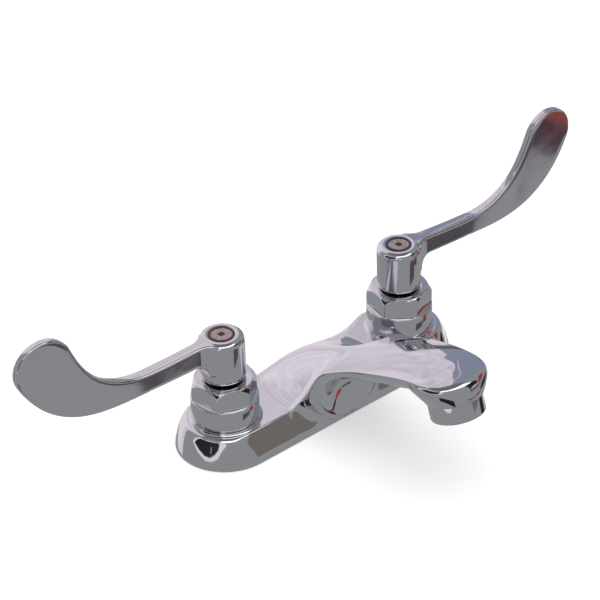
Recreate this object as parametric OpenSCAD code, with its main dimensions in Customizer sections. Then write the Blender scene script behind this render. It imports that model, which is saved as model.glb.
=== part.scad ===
// Deck-mounted two-handle bathroom sink faucet on 4-inch centres.
// Millimetres. Z is up and z = 0 is the face that rests on the sink deck.
// X runs from the hot valve to the cold valve and the spout points to -Y.

/* [Valves] */
// Distance between the hot and cold valve axes
valve_spacing = 101.6; // [96:0.1:110]
// Height of the handle tops above the deck
handle_top = 56.4; // [54:0.1:60]
// Distance across the flats of the bonnet nuts
nut_flats = 25.4; // [24.5:0.1:26.2]
// Turn of the hot bonnet nut on its thread, in degrees
hot_nut_turn = 38; // [0:1:59]
// Turn of the cold bonnet nut on its thread, in degrees
cold_nut_turn = 20; // [0:1:59]

/* [Body] */
// Depth of the base from front to back
base_depth = 45.4; // [44:0.2:50]
// Height of the body round the valves
body_height = 13.8; // [13.4:0.1:14.4]
// Forward reach of the spout from the valve line
spout_reach = 96.2; // [88:0.2:110]
// Height of the spout crest above the body
spout_rise = 46.2; // [42:0.2:52]
// Forward lean of the outlet from straight down, in degrees
outlet_tilt = 17.6; // [14:0.1:20]

/* [Handles] */
// Length of a handle from its valve axis to the tip
handle_length = 100.5; // [94:0.5:110]
// Greatest height of the paddle across its face
paddle_width = 26.2; // [24:0.2:28]
// Thickness of the paddle
paddle_thickness = 3.9; // [3.6:0.1:5]
// Turn of the closed hot handle from the valve line toward the user, in degrees
hot_closed_turn = -2; // [-5:0.5:5]
// Turn of the closed cold handle from the valve line toward the user, in degrees
cold_closed_turn = 4; // [-5:0.5:5]

/* [Under the deck] */
// Outside diameter of the threaded inlet shanks
shank_diameter = 20.96; // [20.5:0.02:21.4]
// Outside diameter of the washers under the deck
washer_diameter = 34; // [28:0.5:40]
// Width of the locknuts across their flats
locknut_flats = 30; // [26:0.5:36]
// Length of the shanks below the deck
shank_length = 50; // [45:1:70]
// Diameter of the seat in a shank's end for a half-inch supply riser
supply_bore = 13.2; // [12.9:0.1:15]
// Thickness of the sink deck that the nuts clamp
deck_thickness = 20; // [8:1:30]

/* [Hidden] */
$fn = 64;

// Running and seating clearances
slip = 0.05;
touch = 0.01;

valve_x = valve_spacing / 2;

// Body heights and radii round a valve
base_r = base_depth / 2;
base_z = 0.5;
lip_z = 1.6;
wall_r = base_r - 0.4;
rim_r = base_r - 5.5;
boss_r = 15.3;
boss_z = body_height + 1;
neck_r = 11.6;
neck_top = boss_z + 8.7;
bore_r = 9.1;
seat_z = 7;
socket_z = 5;
gasket_r = base_r - 2.3;
gasket_top = 1.5;
passage_r = 5;
waterway_z = 9.6;
waterway_r = 2.9;

// Bonnet nut
nut_r = nut_flats / 2 / cos(30);
skirt_r = 14.8;
shoulder_z = boss_z + 10.5;
nut_top = handle_top - 23.2;
tube_r = 7;

// Stem and handle hub
hub_r = 9.8;
hub_bottom = handle_top - 21.1;
stem_r = 4.5;
spline_r = 4;
stem_top = handle_top - 7.2;
arm_z = handle_top - 4.9;
arm_half_height = 4.2;
arm_half_width = 2.7;
edge_round = 1.3;
plan_fillet_r = 9;
under_fillet_r = 6.5;

// Washers, locknuts and supply seats under the deck
washer_thick = 2.5;
locknut_height = 8;
supply_depth = 12;

// Outlet: the rim of the spout head, where the aerator screws in
outlet_y = -0.924 * spout_reach;
outlet_z = body_height + 0.697 * spout_rise;
outlet_r = 12.4;
outlet_bore_r = 10.4;
outlet_depth = 5;
aerator_r = 12.2;
aerator_drop = 7.3;

// Steps of the smooth surfaces: ribs to a span, and rows to a rib
span_steps = 3;
arc_steps = 10;
wall_steps = 3;
top_rows = 4;
side_rows = 7;

function clamp(t) = max(0, min(1, t));
function ease(t) = let(c = clamp(t)) c * c * (3 - 2 * c);
function mix(a, b, t) = a * (1 - t) + b * t;
function plan(p) = [p[0], p[1]];

// Uniform cubic B-spline through its control values: s counts spans from the second one
function spline(p, s) = let(
        i = max(0, min(len(p) - 4, floor(s))),
        t = s - i
    ) ((1 - t) * (1 - t) * (1 - t) * p[i]
        + (3 * t * t * t - 6 * t * t + 4) * p[i + 1]
        + (-3 * t * t * t + 3 * t * t + 3 * t + 1) * p[i + 2]
        + t * t * t * p[i + 3]) / 6;

function bezier(a, b, c, d, t) = pow(1 - t, 3) * a + 3 * t * pow(1 - t, 2) * b
    + 3 * t * t * (1 - t) * c + pow(t, 3) * d;

// Crest of the body and spout from behind the valves to the spout tip,
// as shares of the rise at steps of a tenth of the reach
crest_step = spout_reach / 9.62;
crest_shares = [
    -0.34, -0.07, 0.117, 0.251, 0.355, 0.455, 0.561,
    0.667, 0.766, 0.853, 0.924, 0.976, 0.998, 0.968, 0.87, 0.7
];
function crest(y) = body_height + spout_rise * spline(crest_shares, 2 - y / crest_step);

// Height of the top surface: the crest falls off sideways to the body height,
// quickly over the body and gently along the spout
function top_z(x, y) = let(
        out = ease((-y - 14) / 18),
        q = mix(1.727 / valve_x, 0.432 / valve_x, out)
    ) body_height + (crest(y) - body_height) * (1 - ease(abs(x) * q));
function on_top(p) = [p[0], p[1], top_z(p[0], p[1])];

// Plan of the top edge from the front wall round the corner and along the spout to its tip:
// half width, and share of the way from the front wall to the tip
side_plan = [
    [33, 0], [29, 0], [25, 0], [22.9, 0.03], [22.9, 0.093], [22.2, 0.176], [19.4, 0.284],
    [18.5, 0.404], [18.5, 0.517], [17.6, 0.631], [16.9, 0.744], [16.4, 0.846], [15.2, 0.928],
    [12, 0.979], [6.5, 0.996], [0, 1], [-6.5, 0.996]
];
side_ctrl = [for (p = side_plan) [-p[0], -rim_r - p[1] * (spout_reach - rim_r)]];
corner_x = side_plan[1][0];
side_last = len(side_plan) - 3;
root_at = 3;
head_at = 9;

// Centre line of the front wall and spout underside, from the base up to the outlet rim:
// share of the reach, and share of the rise
under_plan = [
    [0.196, 0.007], [0.21, 0.19], [0.33, 0.33], [0.505, 0.487], [0.69, 0.618]
];
under_points = concat(
    [[-wall_r, lip_z]],
    [for (p = under_plan) [-p[0] * spout_reach, body_height + p[1] * spout_rise]],
    [[outlet_y + outlet_r * cos(outlet_tilt), outlet_z - outlet_r * sin(outlet_tilt)]]
);
under_last = len(under_points) - 1;
under_ctrl = concat(
    [2 * under_points[0] - under_points[1]],
    under_points,
    [2 * under_points[under_last] - under_points[under_last - 1]]
);

outlet_axis = [0, sin(outlet_tilt), cos(outlet_tilt)];
rim_angles = [-55, 0, 55, 92, 122, 151, 180, 209];

// The back of the body is drawn in between the valves
function rear_y(x) = rim_r - 5.7 * (1 - ease((abs(x) - 29) / 16));

// A rib is [spine, edge, edge handle, foot handle, foot]: its top runs from spine to edge,
// and its wall is a Bezier from edge to foot
front_x = concat(
    [for (i = [1:wall_steps]) mix(-valve_x, -corner_x, i / wall_steps)],
    [for (i = [1:root_at * span_steps]) -corner_x * (1 - i / (root_at * span_steps))]
);
rear_x = [for (i = [len(front_x) - 1:-1:0]) front_x[i]];

function rear_rib(x) = let(
        e = on_top([x, rear_y(x)]),
        k = [x, wall_r, lip_z],
        d = norm(e - k),
        end = ease((abs(x) - 29) / 16)
    ) [[x, 0], e, e + mix([0, 0.26, -0.12], [0, 0.2, -0.08], end) * d, k + [0, -0.1, 0.28] * d, k];

function arc_rib(a) = let(
        out = [cos(a), sin(a), 0],
        c = [-valve_x, 0, 0],
        e = c + rim_r * out + [0, 0, body_height],
        k = c + wall_r * out + [0, 0, lip_z],
        d = norm(e - k),
        soft = e + (0.2 * out - [0, 0, 0.08]) * d,
        hard = e + (k - e) * 0.3
    ) [[-valve_x, 0], e, mix(soft, hard, ease((a - 240) / 30)), k + (-0.1 * out + [0, 0, 0.28]) * d, k];

function front_rib(x) = let(
        e = on_top([x, -rim_r]),
        k = [x, -wall_r, lip_z],
        d = norm(e - k)
    ) [[x, 0], e, e + (k - e) * 0.3, k + [0, 0.1, 0.28] * d, k];

function root_rib(i) = let(
        f = i / (root_at * span_steps),
        e = on_top(spline(side_ctrl, f * root_at)),
        k = [-corner_x * (1 - f), -wall_r, lip_z],
        d = norm(e - k),
        turn = ease(f / 0.4)
    ) [[k[0], 0], e,
        e + mix((k - e) * 0.3, [0.12, 0, -1] * min(0.3 * d, 7), turn),
        k + mix([0, 0.1, 0.28] * d, [-12, 0, 0], ease((f - 0.45) / 0.55)), k];

function spout_rib(s) = let(
        e = on_top(spline(side_ctrl, s)),
        u = spline(under_ctrl, s - root_at),
        k = [0, u[0], u[1]],
        drop = mix(7, 5.2, ease((s - root_at) / 2)),
        near_rim = ease(s - head_at + 1)
    ) [[0, -spout_reach * (0.083 + 0.104 * (s - root_at))], e, e + [0.12, 0, -1] * drop,
        k + mix([0.6 * e[0], 0, 0], outlet_axis * 2 + [0.45 * e[0], 0, 0], near_rim), k];

function head_rib(s) = let(
        e = on_top(spline(side_ctrl, s)),
        a = spline(rim_angles, s - head_at),
        k = [0, outlet_y, outlet_z]
            + outlet_r * [-sin(a), cos(a) * cos(outlet_tilt), -cos(a) * sin(outlet_tilt)],
        d = norm(e - k),
        g = ease(s - head_at)
    ) [[0, -spout_reach * (0.707 + 0.031 * (s - head_at))], e,
        e + mix([0.6, 0, -5.2], [0, 0, -0.35 * d], g),
        k + mix(outlet_axis * 2 + [-7.6, 0, 0], outlet_axis * 0.35 * d, g), k];

base_ribs = concat(
    [for (x = rear_x) rear_rib(x)],
    [for (i = [0:arc_steps]) arc_rib(90 + 180 * i / arc_steps)],
    [for (i = [0:wall_steps - 1]) front_rib(front_x[i])],
    [for (i = [1:root_at * span_steps]) root_rib(i)]
);
spout_ribs = concat(
    [for (i = [1:(head_at - root_at) * span_steps]) spout_rib(root_at + i / span_steps)],
    [for (i = [1:(side_last - head_at) * span_steps]) head_rib(head_at + i / span_steps)]
);
left_ribs = concat(base_ribs, spout_ribs);
rows = top_rows + side_rows;

function rib_points(r) = concat(
    [for (j = [0:top_rows - 1]) on_top(mix(r[0], plan(r[1]), j / top_rows))],
    [for (j = [0:side_rows]) bezier(r[1], r[2], r[3], r[4], j / side_rows)]
);
function mirror_x(p) = [-p[0], p[1], p[2]];

left_grid = [for (r = left_ribs) rib_points(r)];
left_count = len(left_grid);
ring = concat(left_grid, [for (i = [left_count - 2:-1:1]) [for (p = left_grid[i]) mirror_x(p)]]);

row_count = rows + 1;
body_points = [for (r = ring) for (p = r) p];
body_faces = [
    for (i = [0:len(ring) - 1]) for (j = [0:rows - 1]) let(
        a = i * row_count + j,
        b = ((i + 1) % len(ring)) * row_count + j
    ) each concat(
        body_points[a] == body_points[b] ? [] : [[a, b, b + 1]],
        body_points[a + 1] == body_points[b + 1] ? [] : [[a, b + 1, a + 1]]
    )
];

// The lip along the foot of the base, and the flat underside
base_count = len(base_ribs);
foot = concat(
    [for (i = [0:base_count - 1]) left_grid[i][rows]],
    [for (i = [base_count - 2:-1:1]) mirror_x(left_grid[i][rows])]
);
function outward(p) = let(v = [p[0] - max(-valve_x, min(valve_x, p[0])), p[1]]) v / norm(v);
function lip(p, z) = let(v = outward(p) * (base_r - wall_r)) [p[0] + v[0], p[1] + v[1], z];
lip_points = concat(foot, [for (p = foot) lip(p, lip_z - 0.4)], [for (p = foot) lip(p, base_z)]);
foot_count = len(foot);
lip_start = len(body_points);
lip_faces = [
    for (k = [0:1]) for (i = [0:foot_count - 1]) let(
        a = lip_start + k * foot_count + i,
        b = lip_start + k * foot_count + (i + 1) % foot_count
    ) each [[a, b, b + foot_count], [a, b + foot_count, a + foot_count]]
];
underside_first = len(rear_x) + arc_steps / 2;
underside = [[for (i = [0:foot_count - 1])
    lip_start + 2 * foot_count + (i + underside_first) % foot_count]];

// The flat rim of the spout head round the aerator
head_first = base_count - 1 + (head_at - root_at) * span_steps;
outlet_rim = [[for (i = [head_first:2 * (left_count - 1) - head_first]) i * row_count + rows]];

// Centre line of a handle blade in its own plane: a level arm, then a curve up into the paddle
handle_scale = handle_length / 100.5;
paddle_r = paddle_width / 2;
arm_end = 39.3 * handle_scale;
blade_a = [arm_end, arm_z - 0.24];
blade_b = [55.2 * handle_scale, arm_z - 0.4];
blade_c = [75.8 * handle_scale, arm_z - 0.4];
blade_d = [87.4 * handle_scale, arm_z + 27.4];
blade_steps = 12;
cap_steps = 9;
arm_us = [7.6, 8.6, 9.8, 10.1, 10.8, 12, 13.5, 15.2, 17, 22, 30, arm_end];

// Round fillets of the arm into its hub: in plan, and below the arm
function plan_fillet(u) = let(
        r = plan_fillet_r,
        c = sqrt(pow(hub_r + r, 2) - pow(arm_half_width + r, 2)),
        d = min(r, max(0, c - u))
    ) r - sqrt(r * r - d * d);
function under_fillet(u) = let(
        r = under_fillet_r,
        d = min(r, max(0, hub_r + r - u))
    ) r - sqrt(r * r - d * d);

// A station is [centre, direction, reach up, reach down]
function arm_station(u) = let(
        low = arm_z - 4.1 - 0.25 * u / arm_end,
        high = handle_top - 1.0 * ease(u / arm_end),
        mid = arm_z
    ) [[u, mid], [1, 0], high - mid, mid - low + under_fillet(u)];
function blade_station(t) = let(
        c = bezier(blade_a, blade_b, blade_c, blade_d, t),
        d = bezier(blade_b - blade_a, mix(blade_b, blade_c, 0.5) - mix(blade_a, blade_b, 0.5),
            mix(blade_c, blade_d, 0.5) - mix(blade_b, blade_c, 0.5), blade_d - blade_c, t),
        w = mix(4.11, paddle_r, ease(t / 1.05))
    ) [c, d / norm(d), w, w];
stations = concat(
    [for (u = arm_us) arm_station(u)],
    [for (i = [1:blade_steps]) blade_station(i / blade_steps)]
);
station_last = len(stations) - 1;
tip = stations[station_last];
function across(s) = [-s[1][1], s[1][0]];

// Outline of the handle drawn in from its edge by an inset
function cap_point(inset, a) = tip[0] + (tip[2] - inset) * (sin(a) * tip[1] + cos(a) * across(tip));
function outline(inset) = concat(
    [for (s = stations) s[0] + (s[2] - inset) * across(s)],
    [for (i = [1:2 * cap_steps - 1]) cap_point(inset, 90 * i / cap_steps)],
    [for (i = [station_last:-1:0]) stations[i][0] - (stations[i][3] - inset) * across(stations[i])]
);

// The handle bows back toward its tip, thins from arm to paddle and flares into its hub
function bow(u, z) = let(s = max(0, (u - 25) / 80))
    0.4 * s + 3 * s * s - 0.03 * (z - arm_z - 15) * ease((u - 35) / 30);
function half_thick(u) = mix(arm_half_width, paddle_thickness / 2, ease((u - 30) / 40))
    + plan_fillet(u);
edge_rows = [for (side = [-1, 1]) for (k = [0:3]) let(a = side < 0 ? 30 * k : 90 - 30 * k)
    [side, edge_round * (1 - sin(a)), edge_round * (1 - cos(a))]];
function blade_row(r) = [for (p = outline(r[1]))
    [p[0], bow(p[0], p[1]) + r[0] * (half_thick(p[0]) - r[2]), p[1]]];
blade_points = [for (r = edge_rows) each blade_row(r)];
loop = len(outline(0));
blade_faces = concat(
    [for (k = [0:len(edge_rows) - 2]) for (i = [0:loop - 1]) let(
        a = k * loop + i,
        b = k * loop + (i + 1) % loop
    ) each [[a, a + loop, b + loop], [a, b + loop, b]]],
    [for (i = [0:(loop - 1) / 2 - 1]) let(a = i, b = i + 1, c = loop - 2 - i, d = loop - 1 - i)
        each b == c ? [[a, b, d]] : [[a, b, c], [a, c, d]]],
    [for (i = [0:(loop - 1) / 2 - 1]) let(
        base = (len(edge_rows) - 1) * loop,
        a = base + i,
        b = base + i + 1,
        c = base + loop - 2 - i,
        d = base + loop - 1 - i
    ) each b == c ? [[a, d, b]] : [[a, c, b], [a, d, c]]]
);

module ring_solid(r_out, r_in, z, h) {
    translate([0, 0, z])
        difference() {
            cylinder(r = r_out, h = h);
            translate([0, 0, -1]) cylinder(r = r_in, h = h + 2);
        }
}

module o_ring(r_mid, r_cord, z) {
    translate([0, 0, z])
        rotate_extrude() translate([r_mid, 0]) circle(r = r_cord, $fn = 32);
}

module stadium(r, z, h) {
    translate([0, 0, z]) {
        for (side = [-1, 1]) translate([side * valve_x, 0, 0]) cylinder(r = r, h = h);
        translate([-valve_x, -r, 0]) cube([valve_spacing, 2 * r, h]);
    }
}

module at_valve(side) {
    translate([side * valve_x, 0, 0]) children();
}

// Everything that turns with a handle is drawn pointing along +X and set on its valve
module at_handle(side) {
    if (side > 0)
        at_valve(side) rotate([0, 0, -cold_closed_turn]) children();
    else
        at_valve(side) rotate([0, 0, hot_closed_turn]) mirror([1, 0, 0]) children();
}

module at_outlet() {
    translate([0, outlet_y, outlet_z]) rotate([-outlet_tilt, 0, 0]) children();
}

// A round passage between two points of the centre plane, each [y, z]
module passage(a, b, r) {
    d = b - a;
    translate([0, a[0], a[1]])
        rotate([-atan2(d[0], d[1]), 0, 0])
            cylinder(r = r, h = norm(d));
}

function spline_outline(r) = [for (i = [0:39]) let(q = r - (i % 2) * 0.4) q * [cos(9 * i), sin(9 * i)]];

module body_casting() {
    color("gainsboro")
        difference() {
            union() {
                polyhedron(points = concat(body_points, lip_points),
                    faces = concat(body_faces, lip_faces, underside, outlet_rim), convexity = 8);
                for (side = [-1, 1]) at_valve(side) {
                    translate([0, 0, body_height - 2]) cylinder(r = boss_r, h = boss_z - body_height + 2);
                    translate([0, 0, boss_z - 1]) cylinder(r = neck_r, h = neck_top - boss_z + 1);
                }
            }
            stadium(gasket_r + touch, 0, gasket_top + touch);
            for (side = [-1, 1]) at_valve(side) {
                translate([0, 0, seat_z]) cylinder(r = bore_r, h = neck_top);
                cylinder(r = passage_r, h = seat_z + 1);
                cylinder(r = shank_diameter / 2 + touch, h = socket_z);
            }
            translate([-valve_x, 0, waterway_z])
                rotate([0, 90, 0]) cylinder(r = waterway_r, h = valve_spacing);
            passage([2, waterway_z - 1], [-0.106 * spout_reach, body_height + 0.177 * spout_rise], waterway_r);
            passage([-0.094 * spout_reach, body_height + 0.155 * spout_rise],
                [-0.322 * spout_reach, body_height + 0.459 * spout_rise], waterway_r);
            passage([-0.307 * spout_reach, body_height + 0.444 * spout_rise],
                [-0.686 * spout_reach, body_height + 0.753 * spout_rise], waterway_r);
            passage([-0.67 * spout_reach, body_height + 0.745 * spout_rise],
                [-0.894 * spout_reach, body_height + 0.82 * spout_rise], waterway_r);
            at_outlet() translate([0, 0, -1]) cylinder(r = outlet_bore_r, h = outlet_depth + 1);
        }
}

module deck_gasket() {
    color("dimgray")
        difference() {
            stadium(gasket_r, 0, gasket_top);
            for (side = [-1, 1]) at_valve(side)
                translate([0, 0, -1]) cylinder(r = shank_diameter / 2 + 0.4, h = gasket_top + 2);
        }
}

module inlet_shank(side) {
    shank_r = shank_diameter / 2;
    color("goldenrod")
        at_valve(side) translate([0, 0, -shank_length])
            difference() {
                union() {
                    cylinder(r1 = shank_r - 1, r2 = shank_r, h = 1);
                    translate([0, 0, 1]) cylinder(r = shank_r, h = shank_length + socket_z - touch - 1);
                }
                translate([0, 0, -1]) cylinder(r = supply_bore / 2, h = supply_depth + 1);
                cylinder(r = passage_r, h = shank_length + socket_z + 1);
            }
}
module hot_inlet_shank() inlet_shank(-1);
module cold_inlet_shank() inlet_shank(1);

module shank_washers() {
    color("silver")
        for (side = [-1, 1]) at_valve(side)
            ring_solid(washer_diameter / 2, shank_diameter / 2 + 0.3, -deck_thickness - washer_thick, washer_thick);
}

module shank_locknuts() {
    color("darkgoldenrod")
        for (side = [-1, 1]) at_valve(side)
            difference() {
                translate([0, 0, -deck_thickness - washer_thick - locknut_height - touch])
                    cylinder(r = locknut_flats / 2 / cos(30), h = locknut_height, $fn = 6);
                translate([0, 0, -shank_length]) cylinder(r = shank_diameter / 2 + slip, h = shank_length);
            }
}

module bonnet_nut(side, turn) {
    color("silver")
        at_valve(side)
            difference() {
                union() {
                    rotate_extrude() polygon(concat(
                        [[0, boss_z + touch]],
                        [for (a = [0:15:90])
                            [skirt_r - 1.2 + 1.2 * sin(a), boss_z + touch + 1.2 - 1.2 * cos(a)]],
                        [[skirt_r, shoulder_z - 0.4], [skirt_r - 0.4, shoulder_z], [0, shoulder_z]]
                    ));
                    intersection() {
                        rotate([0, 0, turn]) translate([0, 0, shoulder_z - 1])
                            cylinder(r = nut_r, h = nut_top - shoulder_z + 1, $fn = 6);
                        translate([0, 0, shoulder_z - 1])
                            cylinder(r1 = nut_r + 6.7, r2 = nut_flats / 2 - 0.2, h = nut_top - shoulder_z + 1);
                    }
                }
                translate([0, 0, boss_z - 1]) cylinder(r = neck_r + slip, h = neck_top - boss_z + 3 + touch);
                translate([0, 0, neck_top]) cylinder(r = tube_r + slip, h = nut_top);
            }
}
module hot_bonnet_nut() bonnet_nut(-1, hot_nut_turn);
module cold_bonnet_nut() bonnet_nut(1, cold_nut_turn);

// Heights inside a valve
seal_top = seat_z + 2;
disc_top = seal_top + 2.6;
turning_top = disc_top + slip + 2.4;
flange_top = turning_top + slip + 2.4;
tube_top = nut_top + 1.2;
groove_z = neck_top - 4;
stem_groove_z = neck_top + 0.5;
cavity_r = 7.2;

module cartridge_body(side) {
    color("goldenrod")
        at_valve(side)
            difference() {
                rotate_extrude() polygon([
                    [0, seat_z], [bore_r - 0.1, seat_z], [bore_r - 0.1, seat_z + 1.5],
                    [bore_r - 0.7, seat_z + 1.5], [bore_r - 0.7, neck_top - 6.5],
                    [bore_r - 0.1, neck_top - 6.5], [bore_r - 0.1, groove_z - 0.9],
                    [bore_r - 1.2, groove_z - 0.9], [bore_r - 1.2, groove_z + 0.9],
                    [bore_r - 0.1, groove_z + 0.9], [bore_r - 0.1, neck_top + touch],
                    [neck_r - 0.6, neck_top + touch], [neck_r - 0.6, neck_top + 2],
                    [tube_r, neck_top + 2], [tube_r, tube_top], [0, tube_top]
                ]);
                translate([0, 0, seat_z - 1]) cylinder(r = cavity_r, h = flange_top - seat_z + 1.1);
                cylinder(r = stem_r + slip, h = tube_top + 1);
                translate([-bore_r, 0, turning_top - 0.6])
                    rotate([0, 90, 0]) cylinder(r = 1.5, h = 2 * bore_r);
            }
}
module hot_cartridge_body() cartridge_body(-1);
module cold_cartridge_body() cartridge_body(1);

module cartridge_seal(side) {
    color("black") at_valve(side) o_ring(bore_r - 0.62, 0.55, groove_z);
}
module hot_cartridge_seal() cartridge_seal(-1);
module cold_cartridge_seal() cartridge_seal(1);

module seat_seal(side) {
    color("black") at_valve(side) ring_solid(cavity_r - slip, passage_r, seat_z + touch, 2 - 2 * touch);
}
module hot_seat_seal() seat_seal(-1);
module cold_seat_seal() seat_seal(1);

// The ceramic discs have two ports each, which a quarter turn brings into line
module ceramic_disc(z, h, turn) {
    color("white")
        rotate([0, 0, turn]) translate([0, 0, z])
            difference() {
                cylinder(r = cavity_r - slip, h = h);
                for (s = [-1, 1]) translate([0, s * 3.4, -1]) cylinder(r = 2, h = h + 2);
            }
}
module hot_fixed_disc() at_valve(-1) ceramic_disc(seal_top, 2.6, 0);
module cold_fixed_disc() at_valve(1) ceramic_disc(seal_top, 2.6, 0);
module hot_turning_disc() at_handle(-1) ceramic_disc(disc_top + slip, 2.4, 90);
module cold_turning_disc() at_handle(1) ceramic_disc(disc_top + slip, 2.4, 90);

module stem(side) {
    color("gold")
        at_handle(side)
            difference() {
                union() {
                    rotate_extrude() polygon([
                        [0, turning_top + touch], [cavity_r - 0.1, turning_top + touch],
                        [cavity_r - 0.1, flange_top], [stem_r, flange_top],
                        [stem_r, stem_groove_z - 0.9], [stem_r - 1.2, stem_groove_z - 0.9],
                        [stem_r - 1.2, stem_groove_z + 0.9], [stem_r, stem_groove_z + 0.9],
                        [stem_r, tube_top + 0.1], [stem_r - 0.7, tube_top + 0.1],
                        [stem_r - 0.7, tube_top + 0.7], [stem_r - 0.2, tube_top + 0.7],
                        [stem_r - 0.2, hub_bottom + 1], [0, hub_bottom + 1]
                    ]);
                    translate([0, 0, hub_bottom + 1])
                        linear_extrude(height = stem_top - hub_bottom - 1) polygon(spline_outline(spline_r));
                }
                translate([0, 0, hub_bottom + 2]) cylinder(r = 2, h = stem_top);
            }
}
module hot_stem() stem(-1);
module cold_stem() stem(1);

module stem_seal(side) {
    color("black") at_handle(side) o_ring(stem_r - 0.58, 0.55, stem_groove_z);
}
module hot_stem_seal() stem_seal(-1);
module cold_stem_seal() stem_seal(1);

module stem_clip(side) {
    color("dimgray")
        at_handle(side)
            difference() {
                ring_solid(6.4, stem_r - 0.65, tube_top + 0.12, 0.55);
                translate([-2.2, -8, tube_top]) cube([4.4, 8, 1]);
            }
}
module hot_stem_clip() stem_clip(-1);
module cold_stem_clip() stem_clip(1);

ring_z = handle_top - 1.5;
head_z = handle_top - 2.5;
head_r = 4.6;
index_r = 5.72;

module handle(side) {
    color("gainsboro")
        at_handle(side)
            difference() {
                union() {
                    rotate_extrude() polygon([
                        [0, hub_bottom], [hub_r - 1.2, hub_bottom], [hub_r - 0.6, hub_bottom + 0.2],
                        [hub_r - 0.2, hub_bottom + 0.6], [hub_r, hub_bottom + 1.2],
                        [hub_r, handle_top - 1.8], [hub_r - 0.14, handle_top - 1.1],
                        [hub_r - 0.53, handle_top - 0.53], [hub_r - 1.1, handle_top - 0.14],
                        [hub_r - 1.8, handle_top], [0, handle_top]
                    ]);
                    polyhedron(points = blade_points, faces = blade_faces, convexity = 6);
                }
                translate([0, 0, hub_bottom - 1]) cylinder(r = 7.6, h = 4);
                translate([0, 0, hub_bottom])
                    linear_extrude(height = stem_top - hub_bottom + slip)
                        polygon(spline_outline(spline_r + slip));
                cylinder(r = 2.4, h = handle_top + 1);
                translate([0, 0, head_z - touch]) cylinder(r = head_r + slip, h = 5);
                translate([0, 0, ring_z - touch]) cylinder(r = index_r + touch, h = 5);
            }
}
module hot_handle() handle(-1);
module cold_handle() handle(1);

module handle_screw(side) {
    color("tan")
        at_handle(side)
            difference() {
                union() {
                    translate([0, 0, head_z]) cylinder(r = head_r, h = handle_top - head_z - 0.1);
                    translate([0, 0, hub_bottom + 6]) cylinder(r = 1.95, h = head_z - hub_bottom - 5);
                }
                translate([0, 0, handle_top - 1.8]) cylinder(r = 1.7, h = 3, $fn = 6);
            }
}
module hot_handle_screw() handle_screw(-1);
module cold_handle_screw() handle_screw(1);

module index_ring(side) {
    at_handle(side) ring_solid(index_r, head_r + slip, ring_z, handle_top - ring_z + 0.1);
}
module hot_index_ring() color("darkred") index_ring(-1);
module cold_index_ring() color("midnightblue") index_ring(1);

module aerator_housing() {
    color("silver")
        at_outlet()
            difference() {
                union() {
                    rotate_extrude() polygon([
                        [0, -aerator_drop], [aerator_r - 0.8, -aerator_drop],
                        [aerator_r - 0.2, -aerator_drop + 0.3], [aerator_r, -aerator_drop + 0.9],
                        [aerator_r, -touch], [0, -touch]
                    ]);
                    translate([0, 0, -1]) cylinder(r = outlet_bore_r - slip, h = outlet_depth);
                }
                translate([0, 0, -aerator_drop - 1]) cylinder(r = 8.2, h = 20);
                translate([0, 0, -aerator_drop + 1.1]) cylinder(r = 9, h = 20);
            }
}

module aerator_washer() {
    color("black") at_outlet() ring_solid(outlet_bore_r - slip, 7, outlet_depth - 1 + touch, 1 - 2 * touch);
}

module hole_ring(count, r, hole_r, h) {
    for (i = [0:count - 1]) rotate([0, 0, 360 * i / count]) translate([r, 0, -1])
        cylinder(r = hole_r, h = h + 2);
}

module flow_restrictor() {
    color("seagreen")
        at_outlet() translate([0, 0, outlet_depth - 2.6])
            difference() {
                cylinder(r = 9 - slip, h = 1.55);
                hole_ring(8, 5.5, 0.8, 1.55);
            }
}

module aerator_insert() {
    color("white")
        at_outlet() translate([0, 0, -4.9])
            difference() {
                cylinder(r = 9 - slip, h = outlet_depth + 2.2);
                translate([0, 0, 1.2]) cylinder(r = 7.6, h = 20);
                hole_ring(12, 6, 1, 1.2);
                hole_ring(6, 3, 1, 1.2);
            }
}

module aerator_screen() {
    color("lightgray")
        at_outlet() translate([0, 0, -aerator_drop + 1.1 + touch])
            difference() {
                cylinder(r = 9 - slip, h = 1.2);
                hole_ring(16, 7, 1, 1.2);
                hole_ring(10, 4.6, 1, 1.2);
                hole_ring(5, 2.2, 0.9, 1.2);
            }
}

body_casting();
deck_gasket();
hot_inlet_shank();
cold_inlet_shank();
shank_washers();
shank_locknuts();
hot_bonnet_nut();
cold_bonnet_nut();
hot_cartridge_body();
cold_cartridge_body();
hot_cartridge_seal();
cold_cartridge_seal();
hot_seat_seal();
cold_seat_seal();
hot_fixed_disc();
cold_fixed_disc();
aerator_housing();
aerator_washer();
flow_restrictor();
aerator_insert();
aerator_screen();
hot_handle();
hot_handle_screw();
hot_index_ring();
hot_stem();
hot_turning_disc();
hot_stem_seal();
hot_stem_clip();
cold_handle();
cold_handle_screw();
cold_index_ring();
cold_stem();
cold_turning_disc();
cold_stem_seal();
cold_stem_clip();
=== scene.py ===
import math

import bmesh
import bpy
import numpy as np
from mathutils import Matrix, Vector


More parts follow.
